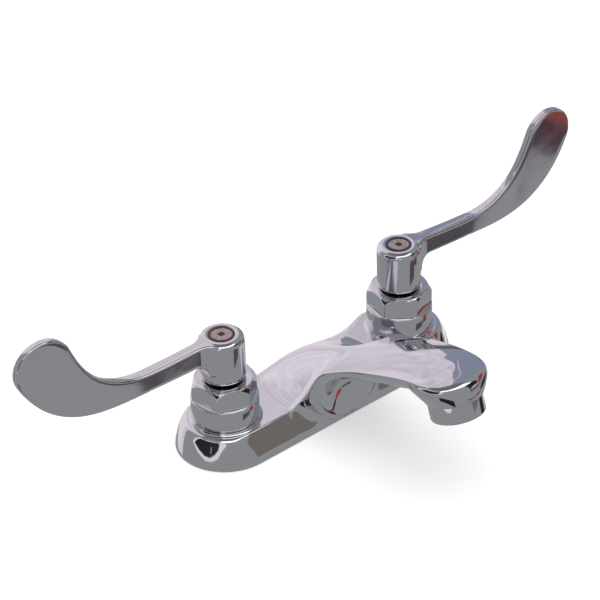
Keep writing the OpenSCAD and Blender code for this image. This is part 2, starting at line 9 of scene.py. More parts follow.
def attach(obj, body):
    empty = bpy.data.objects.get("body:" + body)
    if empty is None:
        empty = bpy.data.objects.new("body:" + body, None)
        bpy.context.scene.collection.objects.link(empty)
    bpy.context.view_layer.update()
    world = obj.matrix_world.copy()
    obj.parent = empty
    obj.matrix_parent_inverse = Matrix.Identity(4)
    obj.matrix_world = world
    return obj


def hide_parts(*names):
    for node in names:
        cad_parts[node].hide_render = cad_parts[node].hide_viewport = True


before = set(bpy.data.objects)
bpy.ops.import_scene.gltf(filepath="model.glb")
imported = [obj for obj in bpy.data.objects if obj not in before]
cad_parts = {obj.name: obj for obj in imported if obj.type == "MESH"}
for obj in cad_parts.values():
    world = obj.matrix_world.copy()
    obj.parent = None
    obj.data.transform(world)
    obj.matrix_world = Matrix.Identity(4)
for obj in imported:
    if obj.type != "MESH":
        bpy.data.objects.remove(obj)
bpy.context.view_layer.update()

# Body casting
# The deck body and its arched spout are one brass casting, ground, buffed and
# chrome plated. The top is soft and falls off sideways from the spout's crest;
# the front wall and the sides of the spout meet it at a crisp edge.
MM = 0.001  # in metres; sizes are in millimetres unless they say otherwise
VALVE_X = 50.8  # from the middle to each valve
BODY_Z = 13.8  # top of the base at its ends
REACH, RISE = 96.2, 46.2  # of the spout, from the valves' line and from the base's top
WALL_R, RIM_R = 22.3, 17.2  # half the base's depth at its foot and at its top
LIP_Z, BASE_Z = 1.6, 0.2
CORNER_X = 29.0  # where the spout's sides begin to leave the base's front
END_BLEND = 16.0
REAR_IN = 5.7  # how far the top's rear edge stands in behind the spout
BASE_FALL, SPOUT_FALL = 1.727, 0.432
FALL_FROM, FALL_OVER = 14, 18
NECK_R, NECK_TOP = 11.6, 23.5
SEAT_R, SEAT_FOOT, SEAT_TOP = 16.6, 13.2, 14.8
CARTRIDGE_BORE = 10.0
OUTLET_TILT = math.radians(17.6)
OUTLET = np.array([0, -0.924 * REACH, BODY_Z + 0.697 * RISE])
OUTLET_R = 12.3
OUTLET_AXIS = np.array([0, math.sin(OUTLET_TILT), math.cos(OUTLET_TILT)])
ROOT_AT, HEAD_AT = 3, 9
EDGE_SOFT = 0.75
# A wall leaves the top's edge and reaches its foot along handles, given as shares of its height
EDGE_PULL, FOOT_LEAN, FOOT_LIFT = 0.3, 0.05, 0.28
BELOW_EDGE = np.array([0.12, 0, -1])
ROOT_DROP, HEAD_DROP = 7, 5.2

# Heights of the crest above the base as shares of RISE, CREST_SPANS of them to the reach
CREST_SPANS = 9.62
CREST = [-0.34, -0.07, 0.117, 0.251, 0.355, 0.455, 0.561,
         0.667, 0.766, 0.853, 0.924, 0.976, 0.998, 0.968, 0.87, 0.7]
# The top's edge in plan: millimetres from the middle, and the share of the way to the tip
SIDE = [(33, 0), (29, 0), (25, 0), (22.9, 0.03), (22.9, 0.093), (22.2, 0.176), (19.4, 0.284),
        (18.5, 0.404), (18.5, 0.517), (17.6, 0.631), (16.9, 0.744), (16.0, 0.846), (14.5, 0.928),
        (11.5, 0.981), (6.4, 1.002), (0, 1.008), (-6.4, 1.002)]
SIDE = np.array([(-x, -RIM_R - t * (REACH - RIM_R)) for x, t in SIDE], float)
SIDE_LAST = len(SIDE) - 3
RIM_ANGLES = [-55, 0, 55, 92, 122, 151, 180, 209]
# The line under the spout, from its root to the outlet, as shares of REACH and RISE
UNDERSIDE = [(0.196, 0.007), (0.21, 0.19), (0.33, 0.33), (0.505, 0.487), (0.69, 0.618)]


def ease(t):
    t = min(1.0, max(0.0, t))
    return t * t * (3 - 2 * t)


def mix(a, b, t):
    return a * (1 - t) + b * t


def spline(p, s):
    """Uniform cubic B-spline through the control values p; s counts spans from the second one."""
    i = int(max(0, min(len(p) - 4, math.floor(s))))
    t = s - i
    return ((1 - t) ** 3 * p[i] + (3 * t ** 3 - 6 * t * t + 4) * p[i + 1]
            + (-3 * t ** 3 + 3 * t * t + 3 * t + 1) * p[i + 2] + t ** 3 * p[i + 3]) / 6


def bezier(a, b, c, d, t):
    return (1 - t) ** 3 * a + 3 * t * (1 - t) ** 2 * b + 3 * t * t * (1 - t) * c + t ** 3 * d


def top_z(x, y):
    """Height of the top: it falls off sideways from the crest, steeply on the base, gently on the spout."""
    crest = BODY_Z + RISE * spline(CREST, 2 - y * CREST_SPANS / REACH)
    fall = mix(BASE_FALL, SPOUT_FALL, ease((-y - FALL_FROM) / FALL_OVER)) / VALVE_X
    return BODY_Z + (crest - BODY_Z) * (1 - ease(abs(x) * fall))


def on_top(x, y):
    return np.array([x, y, top_z(x, y)])


UNDER = [np.array([-WALL_R, LIP_Z])]
UNDER += [np.array([-a * REACH, BODY_Z + b * RISE]) for a, b in UNDERSIDE]
UNDER += [np.array([OUTLET[1] + OUTLET_R * math.cos(OUTLET_TILT),
                    OUTLET[2] - OUTLET_R * math.sin(OUTLET_TILT)])]
UNDER = [2 * UNDER[0] - UNDER[1]] + UNDER + [2 * UNDER[-1] - UNDER[-2]]


# The casting is drawn as ribs. Each is (spine, edge, edge handle, foot handle, foot)
def rear_rib(x):
    end = ease((abs(x) - CORNER_X) / END_BLEND)
    edge = on_top(x, RIM_R - REAR_IN * (1 - end))
    foot = np.array([x, WALL_R, LIP_Z])
    wall = np.linalg.norm(edge - foot)
    pull = mix(np.array([0, 0.26, -0.12]), np.array([0, 0.2, -0.08]), end)
    return (x, 0), edge, edge + pull * wall, foot + np.array([0, -FOOT_LEAN, FOOT_LIFT]) * wall, foot


def end_rib(a):
    out = np.array([math.cos(a), math.sin(a), 0])
    edge = np.array([-VALVE_X, 0, BODY_Z]) + RIM_R * out
    foot = np.array([-VALVE_X, 0, LIP_Z]) + WALL_R * out
    wall = np.linalg.norm(edge - foot)
    soft = edge + (0.2 * out - np.array([0, 0, 0.08])) * wall
    hard = edge + (foot - edge) * EDGE_PULL
    turn = ease((math.degrees(a) - 240) / 30)
    lift = np.array([0, 0, FOOT_LIFT]) - FOOT_LEAN * out
    return (-VALVE_X, 0), edge, mix(soft, hard, turn), foot + lift * wall, foot


def front_rib(x):
    edge = on_top(x, -RIM_R)
    foot = np.array([x, -WALL_R, LIP_Z])
    lift = np.array([0, FOOT_LEAN, FOOT_LIFT]) * np.linalg.norm(edge - foot)
    return (x, 0), edge, edge + (foot - edge) * EDGE_PULL, foot + lift, foot


def root_rib(f):
    """Where the base's front wall turns into the spout's side; f runs from the corner to the middle."""
    edge = on_top(*spline(SIDE, f * ROOT_AT))
    foot = np.array([-CORNER_X * (1 - f), -WALL_R, LIP_Z])
    wall = np.linalg.norm(edge - foot)
    side = BELOW_EDGE * min(EDGE_PULL * wall, ROOT_DROP)
    lift = mix(np.array([0, FOOT_LEAN, FOOT_LIFT]) * wall, np.array([-12.0, 0, 0]), ease((f - 0.45) / 0.55))
    return (foot[0], 0), edge, edge + mix((foot - edge) * EDGE_PULL, side, ease(f / 0.4)), foot + lift, foot


def spout_rib(s):
    edge = on_top(*spline(SIDE, s))
    foot = np.array([0, *spline(UNDER, s - ROOT_AT)])
    drop = mix(ROOT_DROP, HEAD_DROP, ease((s - ROOT_AT) / 2))
    lift = mix(np.array([0.6 * edge[0], 0, 0]), OUTLET_AXIS * 2 + np.array([0.45 * edge[0], 0, 0]),
               ease(s - HEAD_AT + 1))
    spine = (0, -REACH * (0.083 + 0.104 * (s - ROOT_AT)))
    return spine, edge, edge + BELOW_EDGE * drop, foot + lift, foot


def head_rib(s):
    edge = on_top(*spline(SIDE, s))
    a = math.radians(spline(RIM_ANGLES, s - HEAD_AT))
    foot = OUTLET + OUTLET_R * np.array([-math.sin(a), math.cos(a) * math.cos(OUTLET_TILT),
                                         -math.cos(a) * math.sin(OUTLET_TILT)])
    out = (foot - OUTLET) / OUTLET_R
    wall = np.linalg.norm(edge - foot)
    round_head = ease(s - HEAD_AT)
    pull = mix(np.array([0.6, 0, -HEAD_DROP]), (0.34 * out - np.array([0, 0, 0.2])) * wall, round_head)
    lift = mix(OUTLET_AXIS * 2 + np.array([-7.6, 0, 0]), (OUTLET_AXIS * 0.3 + 0.16 * out) * wall, round_head)
    spine = (0, -REACH * (0.707 + 0.031 * (s - HEAD_AT)))
    return spine, edge, edge + pull, foot + lift, foot


def rib_points(rib, top=26, side=26, corner=5, measured=200):
    """One rib from spine to foot, with the edge rounded off by a small arc."""
    spine, edge, edge_handle, foot_handle, foot = rib
    spine = np.array(spine, float)
    length = np.linalg.norm(edge[:2] - spine)
    steps = np.linspace(0, 1, measured + 1)
    wall = [bezier(edge, edge_handle, foot_handle, foot, t) for t in steps]
    run = np.concatenate([[0], np.cumsum([np.linalg.norm(b - a) for a, b in zip(wall, wall[1:])])])

    def on_wall(d):
        return bezier(edge, edge_handle, foot_handle, foot, float(np.interp(d, run, steps)))

    def over(t):
        return on_top(*mix(spine, edge[:2], t))

    stop = 1 - EDGE_SOFT / length
    # the points crowd a little towards the edge
    pts = [over(stop * (1 - (1 - j / top) ** 1.3)) for j in range(top)]
    a, b = over(stop), on_wall(EDGE_SOFT)
    pts += [a * (1 - t) ** 2 + 2 * edge * t * (1 - t) + b * t * t
            for t in (j / corner for j in range(corner + 1))]
    pts += [on_wall(EDGE_SOFT + (run[-1] - EDGE_SOFT) * (j / side)) for j in range(1, side)]
    return pts + [foot]


def add_object(name, data):
    obj = bpy.data.objects.new(name, data)
    bpy.context.scene.collection.objects.link(obj)
    return obj


def new_piece(name, points, faces):
    """A mesh object from points in millimetres; seams are merged and faces turned outwards."""
    mesh = bpy.data.meshes.new(name)
    mesh.from_pydata([tuple(float(c) * MM for c in p) for p in points], [], faces)
    bm = bmesh.new()
    bm.from_mesh(mesh)
    bmesh.ops.remove_doubles(bm, verts=bm.verts, dist=2e-6)
    bmesh.ops.recalc_face_normals(bm, faces=bm.faces)
    bm.to_mesh(mesh)
    bm.free()
    mesh.shade_smooth()
    return add_object(name, mesh)


def grid_faces(rings, around, start=0, closed=True):
    """Quads between rings of points, each ring running the same way round."""
    span = around if closed else around - 1
    return [(start + i * around + j, start + i * around + (j + 1) % around,
             start + (i + 1) * around + (j + 1) % around, start + (i + 1) * around + j)
            for i in range(rings - 1) for j in range(span)]


def join(name, pieces):
    """Several meshes as one object."""
    bm = bmesh.new()
    for p in pieces:
        bm.from_mesh(p.data)
    mesh = bpy.data.meshes.new(name)
    bm.to_mesh(mesh)
    bm.free()
    for p in pieces:
        bpy.data.objects.remove(p)
    mesh.shade_smooth()
    return add_object(name, mesh)


def spun(name, rows, turn=0.0):
    """A closed surface round Z: each row has the (radius, height) pairs of one way round, in millimetres."""
    around = len(rows[0])
    angles = [2 * math.pi * j / around + turn for j in range(around)]
    pts = [(r * math.cos(a), r * math.sin(a), z) for row in rows for a, (r, z) in zip(angles, row)]
    faces = [tuple(i % len(pts) for i in f) for f in grid_faces(len(rows) + 1, around)]
    return new_piece(name, pts, faces)


def turned(name, profile, around=160):
    """A surface of revolution about Z from a profile of (radius, height) pairs in millimetres."""
    return spun(name, [[p] * around for p in profile])


def shift(obj, x=0, y=0, z=0):
    obj.data.transform(Matrix.Translation((x * MM, y * MM, z * MM)))


def arc(cx, cz, r, a0, a1, n=6):
    """Points of a quarter or other arc in a profile, angles in degrees from the +radius direction."""
    return [(cx + r * math.cos(math.radians(mix(a0, a1, i / n))),
             cz + r * math.sin(math.radians(mix(a0, a1, i / n)))) for i in range(n + 1)]


def linear(hex_colour):
    """An sRGB hex value as a linear colour."""
    v = [int(hex_colour[i:i + 2], 16) / 255 for i in (1, 3, 5)]
    return tuple((c / 12.92 if c <= 0.04045 else ((c + 0.055) / 1.055) ** 2.4) for c in v) + (1.0,)


def link(tree, n, links):
    for key, out in links.items():
        tree.links.new(out, n.inputs[key])


def node(tree, kind, links=None, **settings):
    """Adds a node. Settings are its properties, or its inputs with _ for a space; links are input: output."""
    n = tree.nodes.new(kind)
    for key, value in settings.items():
        if hasattr(n, key) and key not in n.inputs:
            setattr(n, key, value)
        else:
            n.inputs[key.replace("_", " ")].default_value = value
    link(tree, n, links or {})
    return n


def new_material(name, base, metallic, roughness, **more):
    mat = bpy.data.materials.new(name)
    mat.use_nodes = True
    shader = mat.node_tree.nodes["Principled BSDF"]
    shader.inputs["Base Color"].default_value = linear(base)
    shader.inputs["Metallic"].default_value = metallic
    shader.inputs["Roughness"].default_value = roughness
    for key, value in more.items():
        shader.inputs[key.replace("_", " ")].default_value = value
    return mat, mat.node_tree, shader


def shade_between(tint, low, high, start=0.0, end=1.0):
    """Lets a colour ramp run from one colour to another between two values."""
    for stop, colour, at in zip(tint.color_ramp.elements, (low, high), (start, end)):
        stop.color, stop.position = linear(colour), at


def chrome_plate():
    """Bright chrome over buffed brass: a faintly blue mirror. The buffing leaves a slow waviness about
    8 mm across, and handling leaves cloudy patches about 15 mm across that are a little less sharp."""
    mat, tree, shader = new_material("chrome_plate", "#DAD9DE", 1.0, 0.05)
    where = node(tree, "ShaderNodeTexCoord").outputs["Object"]
    waves = node(tree, "ShaderNodeTexNoise", {"Vector": where}, Scale=125.0, Detail=1.0, Roughness=0.4)
    bump = node(tree, "ShaderNodeBump", {"Height": waves.outputs["Fac"]}, Strength=0.05, Distance=0.0002)
    clouds = node(tree, "ShaderNodeTexNoise", {"Vector": where}, Scale=66.0, Detail=3.0, Roughness=0.6)
    rough = node(tree, "ShaderNodeMapRange", {"Value": clouds.outputs["Fac"]},
                 From_Min=0.35, From_Max=0.75, To_Min=0.035, To_Max=0.09)
    link(tree, shader, {"Roughness": rough.outputs["Result"], "Normal": bump.outputs["Normal"]})
    return mat


CHROME = chrome_plate()

# Half the ribs, from the middle of the back round the end to the tip of the head
BASE_RIBS, END_RIBS, ROOT_RIBS, SPAN_RIBS = 12, 60, 48, 16
spout_ribs = (HEAD_AT - ROOT_AT) * SPAN_RIBS
base_x = [mix(-VALVE_X, -CORNER_X, (i + 1) / BASE_RIBS) for i in range(BASE_RIBS)]
root_f = [(i + 1) / ROOT_RIBS for i in range(ROOT_RIBS)]
ribs = [rear_rib(-CORNER_X * (1 - f)) for f in reversed(root_f)]
ribs += [rear_rib(x) for x in reversed(base_x)]
ribs += [end_rib(math.radians(90 + 180 * i / END_RIBS)) for i in range(END_RIBS + 1)]
ribs += [front_rib(x) for x in base_x]
ribs += [root_rib(f) for f in root_f]
base_count = len(ribs)
ribs += [spout_rib(ROOT_AT + (i + 1) / SPAN_RIBS) for i in range(spout_ribs)]
ribs += [head_rib(HEAD_AT + (i + 1) / SPAN_RIBS) for i in range((SIDE_LAST - HEAD_AT) * SPAN_RIBS)]
left = [rib_points(r) for r in ribs]


def flip(p):
    return np.array([-p[0], p[1], p[2]])


ring = left + [[flip(p) for p in r] for r in reversed(left[1:-1])]
row = len(left[0])
points = [p for r in ring for p in r]
faces = [(i * row + j, ((i + 1) % len(ring)) * row + j, ((i + 1) % len(ring)) * row + j + 1, i * row + j + 1)
         for i in range(len(ring)) for j in range(row - 1)]

# The thin lip along the foot, and the flat underside that the gasket fills
foot = [r[-1] for r in left[:base_count]] + [flip(r[-1]) for r in reversed(left[1:base_count - 1])]


def lip(p, out, z):
    v = np.array([p[0] - max(-VALVE_X, min(VALVE_X, p[0])), p[1]])
    v = v / np.linalg.norm(v) * out
    return np.array([p[0] + v[0], p[1] + v[1], z])


lip_rows = [(0, LIP_Z), (0.05, 0.9), (0.12, BASE_Z + 0.2), (0.15, BASE_Z)]
start = len(points)
for out, z in lip_rows:
    points += [lip(p, out, z) for p in foot]
faces += grid_faces(len(lip_rows), len(foot), start)
points.append(np.array([0, 0, BASE_Z]))
last = start + (len(lip_rows) - 1) * len(foot)
faces += [(last + j, last + (j + 1) % len(foot), len(points) - 1) for j in range(len(foot))]

# The flat rim of the head, which the aerator seats on
head_start = base_count - 1 + spout_ribs
rim = [i * row + row - 1 for i in range(head_start, 2 * (len(left) - 1) - head_start)]
points.append(OUTLET)
faces += [(rim[j], rim[(j + 1) % len(rim)], len(points) - 1) for j in range(len(rim))]
shell = new_piece("shell", points, faces)

# A raised seat round each valve, with the neck that the nut screws on
seats = []
for side in (-1, 1):
    hollow = arc(SEAT_R, SEAT_TOP - 0.2, 1.0, -90, -180, 3)[:3]
    rim = arc(SEAT_R - 1.6, SEAT_TOP - 0.3, 0.3, 0, 90, 4)
    neck = [(NECK_R, SEAT_TOP), (NECK_R, NECK_TOP), (CARTRIDGE_BORE, NECK_TOP), (CARTRIDGE_BORE, SEAT_FOOT)]
    seat = turned("seat", [(SEAT_R, SEAT_FOOT)] + hollow + rim + neck)
    shift(seat, side * VALVE_X)
    seats.append(seat)
casting = join("Cast_body_and_spout", [shell] + seats)
casting.data.materials.append(CHROME)
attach(casting, "fixed_faucet")
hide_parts("body_casting")

# Deck gasket
# A flat ring of moulded black rubber, as long as the base, that is squeezed
# between the casting and the sink deck when the locknuts are tightened.


def black_rubber():
    """Moulded rubber: matt, near black, with a fine leathery grain about 0.6 mm across from the mould
    and faint grey dusting where it is handled."""
    mat, tree, shader = new_material("moulded_black_rubber", "#1B1B1C", 0.0, 0.62)
    where = node(tree, "ShaderNodeTexCoord").outputs["Object"]
    dust = node(tree, "ShaderNodeTexNoise", {"Vector": where}, Scale=140.0, Detail=4.0)
    tint = node(tree, "ShaderNodeValToRGB", {"Fac": dust.outputs["Fac"]})
    shade_between(tint, "#161617", "#2B2B2D")
    grain = node(tree, "ShaderNodeTexVoronoi", {"Vector": where}, Scale=1650.0)
    bump = node(tree, "ShaderNodeBump", {"Height": grain.outputs["Distance"]}, Strength=0.25, Distance=0.0001)
    link(tree, shader, {"Base Color": tint.outputs["Color"], "Normal": bump.outputs["Normal"]})
    return mat


RUBBER = black_rubber()


def finish_node(name, mat):
    """Gives a CAD node that is right as it stands its finish."""
    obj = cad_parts[name]
    if not obj.material_slots:
        obj.data.materials.append(mat)
    for place in obj.material_slots:
        place.link = "OBJECT"
        place.material = mat


finish_node("deck_gasket", RUBBER)

# Shanks, washers and locknuts
# Under the deck each valve has a hollow brass shank with a pipe thread on it. A
# pressed steel washer and a brass locknut on each pull the faucet down.
SHANK_R = 10.48
SHANK_END, SHANK_TOP = -50.0, 4.9
SHANK_BORE, SHANK_MOUTH, MOUTH_DEEP = 5.0, 6.6, 12.0
PITCH, TURNS, RIDGE = 1.814, 25.4, 0.72
DECK = 20.0  # thickness of the sink's deck
WASHER_R, WASHER_T, WASHER_GAP = 17.0, 2.5, 0.35
LOCKNUT_FLATS, LOCKNUT_H = 30.0, 8.0


def machined_brass(name, base, dark):
    """Turned brass, unplated: warm yellow with fine lathe lines 0.5 mm apart round its axis,
    and brown tarnish in cloudy spots about 6 mm across that is duller than the bright metal."""
    mat, tree, shader = new_material(name, base, 1.0, 0.3)
    where = node(tree, "ShaderNodeTexCoord").outputs["Object"]
    lathe = node(tree, "ShaderNodeTexWave", {"Vector": where}, bands_direction="Z",
                 Scale=640.0, Distortion=0.6, Detail=2.0)
    spots = node(tree, "ShaderNodeTexNoise", {"Vector": where}, Scale=160.0, Detail=5.0)
    tint = node(tree, "ShaderNodeValToRGB", {"Fac": spots.outputs["Fac"]})
    shade_between(tint, dark, base, 0.35, 0.62)
    rough = node(tree, "ShaderNodeMapRange", {"Value": spots.outputs["Fac"]},
                 From_Min=0.35, From_Max=0.65, To_Min=0.48, To_Max=0.24)
    bump = node(tree, "ShaderNodeBump", {"Height": lathe.outputs["Fac"]}, Strength=0.12, Distance=0.0001)
    link(tree, shader, {"Base Color": tint.outputs["Color"], "Roughness": rough.outputs["Result"],
                        "Normal": bump.outputs["Normal"]})
    return mat


def pressed_steel():
    """Stainless steel sheet: cool grey, with rolling lines 0.4 mm apart along one way and a satin gloss."""
    mat, tree, shader = new_material("rolled_stainless_sheet", "#B9B6B0", 1.0, 0.32)
    where = node(tree, "ShaderNodeTexCoord").outputs["Object"]
    stretch = node(tree, "ShaderNodeMapping", {"Vector": where}, Scale=(60.0, 2500.0, 2500.0))
    lines = node(tree, "ShaderNodeTexNoise", {"Vector": stretch.outputs["Vector"]}, Scale=1.0, Detail=3.0)
    rough = node(tree, "ShaderNodeMapRange", {"Value": lines.outputs["Fac"]},
                 From_Min=0.3, From_Max=0.7, To_Min=0.24, To_Max=0.42)
    bump = node(tree, "ShaderNodeBump", {"Height": lines.outputs["Fac"]}, Strength=0.15, Distance=0.0001)
    link(tree, shader, {"Roughness": rough.outputs["Result"], "Normal": bump.outputs["Normal"]})
    return mat


BRASS = machined_brass("turned_brass", "#D3B06A", "#9C7A3E")
STEEL = pressed_steel()


def new_tree(name, **sizes):
    """A Geometry Nodes tree with the piece so far, its metal and the sizes named here as its inputs."""
    tree = bpy.data.node_groups.new(name, "GeometryNodeTree")
    for key, kind in {"Geometry": "Geometry", "Metal": "Material", **sizes}.items():
        tree.interface.new_socket(key, in_out="INPUT", socket_type="NodeSocket" + kind)
    tree.interface.new_socket("Geometry", in_out="OUTPUT", socket_type="NodeSocketGeometry")
    return tree, node(tree, "NodeGroupInput").outputs


def end_tree(tree, given, made):
    """Joins what the tree made to the piece so far, and ends the tree as real geometry in its metal."""
    both = node(tree, "GeometryNodeJoinGeometry")
    tree.links.new(given["Geometry"], both.inputs[0])
    tree.links.new(made, both.inputs[0])
    real = node(tree, "GeometryNodeRealizeInstances", {"Geometry": both.outputs[0]})
    dressed = node(tree, "GeometryNodeSetMaterial", {"Geometry": real.outputs[0], "Material": given["Metal"]})
    node(tree, "NodeGroupOutput", {"Geometry": dressed.outputs[0]})
    return tree


def thread_tree():
    """Geometry Nodes: a helical ridge of V section, from its radius, pitch and number of turns."""
    tree, given = new_tree("pipe_thread", Radius="Float", Pitch="Float", Turns="Float", Bottom="Float",
                           Ridge="Float")
    height = node(tree, "ShaderNodeMath", {0: given["Pitch"], 1: given["Turns"]}, operation="MULTIPLY")
    helix = node(tree, "GeometryNodeCurveSpiral",
                 {"Rotations": given["Turns"], "Start Radius": given["Radius"], "End Radius": given["Radius"],
                  "Height": height.outputs[0]}, Resolution=44)
    section = node(tree, "GeometryNodeCurvePrimitiveCircle", {"Radius": given["Ridge"]}, Resolution=3)
    ridge = node(tree, "GeometryNodeCurveToMesh", {"Curve": helix.outputs["Curve"],
                                                   "Profile Curve": section.outputs["Curve"]}, Fill_Caps=True)
    place = node(tree, "ShaderNodeCombineXYZ", {"Z": given["Bottom"]})
    moved = node(tree, "GeometryNodeTransform", {"Geometry": ridge.outputs["Mesh"],
                                                 "Translation": place.outputs[0]})
    return end_tree(tree, given, moved.outputs["Geometry"])


def run_tree(obj, tree, name, **values):
    """Runs a node tree on an object, and gives the plain mesh it makes as a new object."""
    mod = obj.modifiers.new("build", "NODES")
    mod.node_group = tree
    for item in tree.interface.items_tree:
        if item.in_out == "INPUT" and item.name in values:
            mod[item.identifier] = values[item.name]
    bpy.context.view_layer.update()
    made = obj.evaluated_get(bpy.context.evaluated_depsgraph_get())
    mesh = bpy.data.meshes.new_from_object(made)
    mesh.name = name
    bpy.data.objects.remove(obj)
    return add_object(name, mesh)


PIPE_THREAD = thread_tree()
shanks = []
for side, x in (("hot", -VALVE_X), ("cold", VALVE_X)):
    core_r = SHANK_R - RIDGE - 0.03
    core = turned("core", [(SHANK_MOUTH, SHANK_END + 0.3), (SHANK_MOUTH + 0.3, SHANK_END),
                           (core_r - 0.45, SHANK_END), (core_r, SHANK_END + 0.8), (core_r, -2.0),
                           (SHANK_R, -1.2), (SHANK_R, SHANK_TOP), (SHANK_BORE, SHANK_TOP),
                           (SHANK_BORE, SHANK_END + MOUTH_DEEP), (SHANK_MOUTH, SHANK_END + MOUTH_DEEP)], 96)
    shank = run_tree(core, PIPE_THREAD, side.capitalize() + "_threaded_shank", Metal=BRASS,
                     Radius=(SHANK_R - RIDGE) * MM, Pitch=PITCH * MM, Turns=TURNS,
                     Bottom=(SHANK_END + 1.0) * MM, Ridge=RIDGE * MM)
    shift(shank, x)
    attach(shank, "fixed_faucet")
    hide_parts(side + "_inlet_shank")
    shanks.append(shank)

washer_r, washer_z = SHANK_R + WASHER_GAP, -DECK - WASHER_T
washers = []
for x in (-VALVE_X, VALVE_X):
    washer = turned("washer", arc(WASHER_R - 0.5, -DECK - 0.5, 0.5, 90, 0, 4)
                    + arc(WASHER_R - 0.5, washer_z + 0.5, 0.5, 0, -90, 4)
                    + [(washer_r + 0.35, washer_z), (washer_r, washer_z + 0.35),
                       (washer_r, -DECK - 0.35), (washer_r + 0.35, -DECK)], 128)
    shift(washer, x)
    washers.append(washer)
washers = join("Shank_washers_pressed", washers)
washers.data.materials.append(STEEL)
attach(washers, "fixed_faucet")
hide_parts("shank_washers")


def hexagon(flats, a):
    """Radius of a hexagon, from its size across flats, at an angle in degrees from one of its corners."""
    return flats / 2 / math.cos(math.radians(a % 60 - 30))


def locknut(around=180):
    """A hexagon nut: its corners are cut by a cone at both ends, and its bore is countersunk."""
    top = washer_z - 0.01
    bottom, bore, flat_r = top - LOCKNUT_H, SHANK_R + 0.03, LOCKNUT_FLATS / 2
    corners = [hexagon(LOCKNUT_FLATS, 360 * j / around) for j in range(around)]
    cut = [max(0, (h - flat_r - 0.1) * 0.5) for h in corners]
    rows = [[p] * around for p in ((bore, bottom + 1), (bore + 0.8, bottom), (flat_r - 0.5, bottom))]
    rows += [[(h - inward * c, z + up * c) for h, c in zip(corners, cut)]
             for inward, z, up in ((2, bottom, 0), (0, bottom, 1), (0, top, -1), (2, top, 0))]
    rows += [[p] * around for p in ((flat_r - 0.5, top), (bore + 0.8, top), (bore, top - 1))]
    return spun("locknut", rows)


def wear_edges(obj):
    """Bevels the sharp edges by 0.2 mm, in the mesh itself."""
    soften = obj.modifiers.new("worn edges", "BEVEL")
    soften.width, soften.segments, soften.angle_limit = 0.2 * MM, 2, math.radians(25)
    bpy.context.view_layer.update()
    mesh = bpy.data.meshes.new_from_object(obj.evaluated_get(bpy.context.evaluated_depsgraph_get()))
    obj.modifiers.clear()
    obj.data = mesh
    mesh.shade_smooth()


nuts = []
for x in (-VALVE_X, VALVE_X):
    nut = locknut()
    wear_edges(nut)
    shift(nut, x)
    nuts.append(nut)
locknuts = join("Shank_locknuts_brass", nuts)
locknuts.data.set_sharp_from_angle(angle=math.radians(35))
locknuts.data.materials.append(BRASS)
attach(locknuts, "fixed_faucet")
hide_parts("shank_locknuts")
# The deck hides all of this from the chrome above it
for below in (*shanks, washers, locknuts):
    below.visible_glossy = False

# Valve cartridges
# A brass cartridge screws into each neck. Two lapped ceramic discs meet in it: the
# lower one is fixed, and the upper one turns with the stem and opens the ports.
# Rubber rings seal it, and a steel clip keeps the stem in.


def lapped_ceramic():
    """Alumina, lapped flat: warm white with a soft sheen, and grey specks of 0.3 mm from the firing."""
    mat, tree, shader = new_material("lapped_alumina", "#ECEAE2", 0.0, 0.22, Coat_Weight=0.3)
    where = node(tree, "ShaderNodeTexCoord").outputs["Object"]
    specks = node(tree, "ShaderNodeTexNoise", {"Vector": where}, Scale=3200.0, Detail=2.0)
    tint = node(tree, "ShaderNodeValToRGB", {"Fac": specks.outputs["Fac"]})
    shade_between(tint, "#BDBAB2", "#ECEAE2", 0.28, 0.42)
    tree.links.new(tint.outputs["Color"], shader.inputs["Base Color"])
    return mat


# Painted shade: the brass of the cartridge bodies and stems is made near black so that the gap under each hub
# reads dark, where a real part would show plain brass
SHADE_DARKENED_BRASS = machined_brass("brass_darkened_for_painted_shade", "#3A332A", "#16130F")
SHADE_DARKENED_BRASS.node_tree.nodes["Principled BSDF"].inputs["Metallic"].default_value = 0.7
CERAMIC = lapped_ceramic()
for side in ("hot", "cold"):
    # the cartridge body and stem get the near-black brass, which is painted shade for the gap under the hub
    finish_node(side + "_cartridge_body", SHADE_DARKENED_BRASS)
    finish_node(side + "_stem", SHADE_DARKENED_BRASS)
    for part in ("_cartridge_seal", "_seat_seal", "_stem_seal"):
        finish_node(side + part, RUBBER)
    for part in ("_fixed_disc", "_turning_disc"):
        finish_node(side + part, CERAMIC)
    finish_node(side + "_stem_clip", STEEL)

# Bonnet nuts
# Turned and plated brass: a round skirt that covers the valve's neck, and a
# hexagon above it with its corners chamfered, so that each flat ends in an arc.
HANDLE_TOP = 56.4
NUT_TOP, NUT_FOOT = HANDLE_TOP - 21.9, 14.81
SHOULDER_Z = 25.3
SKIRT_R, SKIRT_BORE = 14.8, 11.66
FLATS = 25.4
CHAMFER_DEEP = 6.85
STEM_HOLE, ROOF_Z = 7.2, 25.6
NUT_TURN = {"hot": 38.0, "cold": 20.0}


